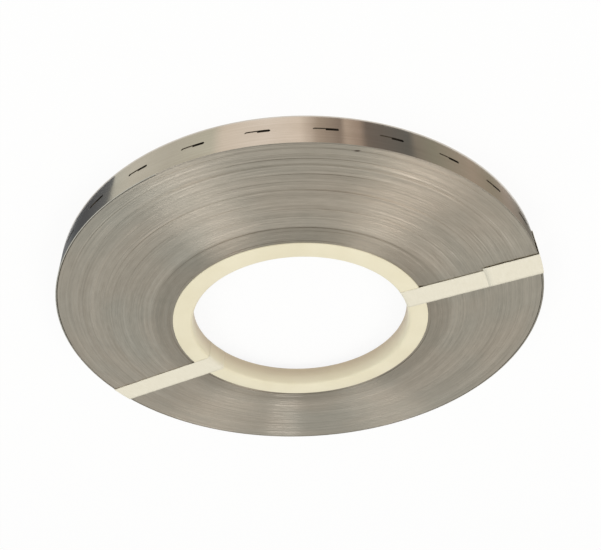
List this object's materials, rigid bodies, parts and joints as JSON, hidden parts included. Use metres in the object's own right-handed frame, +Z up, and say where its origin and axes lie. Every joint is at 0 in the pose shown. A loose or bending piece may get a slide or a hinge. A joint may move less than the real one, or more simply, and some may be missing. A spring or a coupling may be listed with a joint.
{
  "type": "nickel plated strip roll",
  "caption": "Flat roll of slotted nickel plated steel strip wound on a plastic ring core and held by two bands of paper tape.",
  "frame": {"origin": "centre of the roll on the floor that it lies on", "axes": "+Z up along the winding axis; -Y is the side that shows nearest, with the tape bands at about 28 and 201 degrees from +X"},
  "size_m": [0.186, 0.186, 0.0125],
  "materials": {
    "nickel_strip": "bright nickel plating, slit edges satin",
    "core_plastic": "satin ivory moulding",
    "paper_tape": "matt crepe paper"
  },
  "bodies": {
    "root": {"strip_coil": "nickel_strip", "core_ring": "core_plastic", "tape_band_left": "paper_tape", "tape_band_right": "paper_tape"}
  },
  "joints": []
}
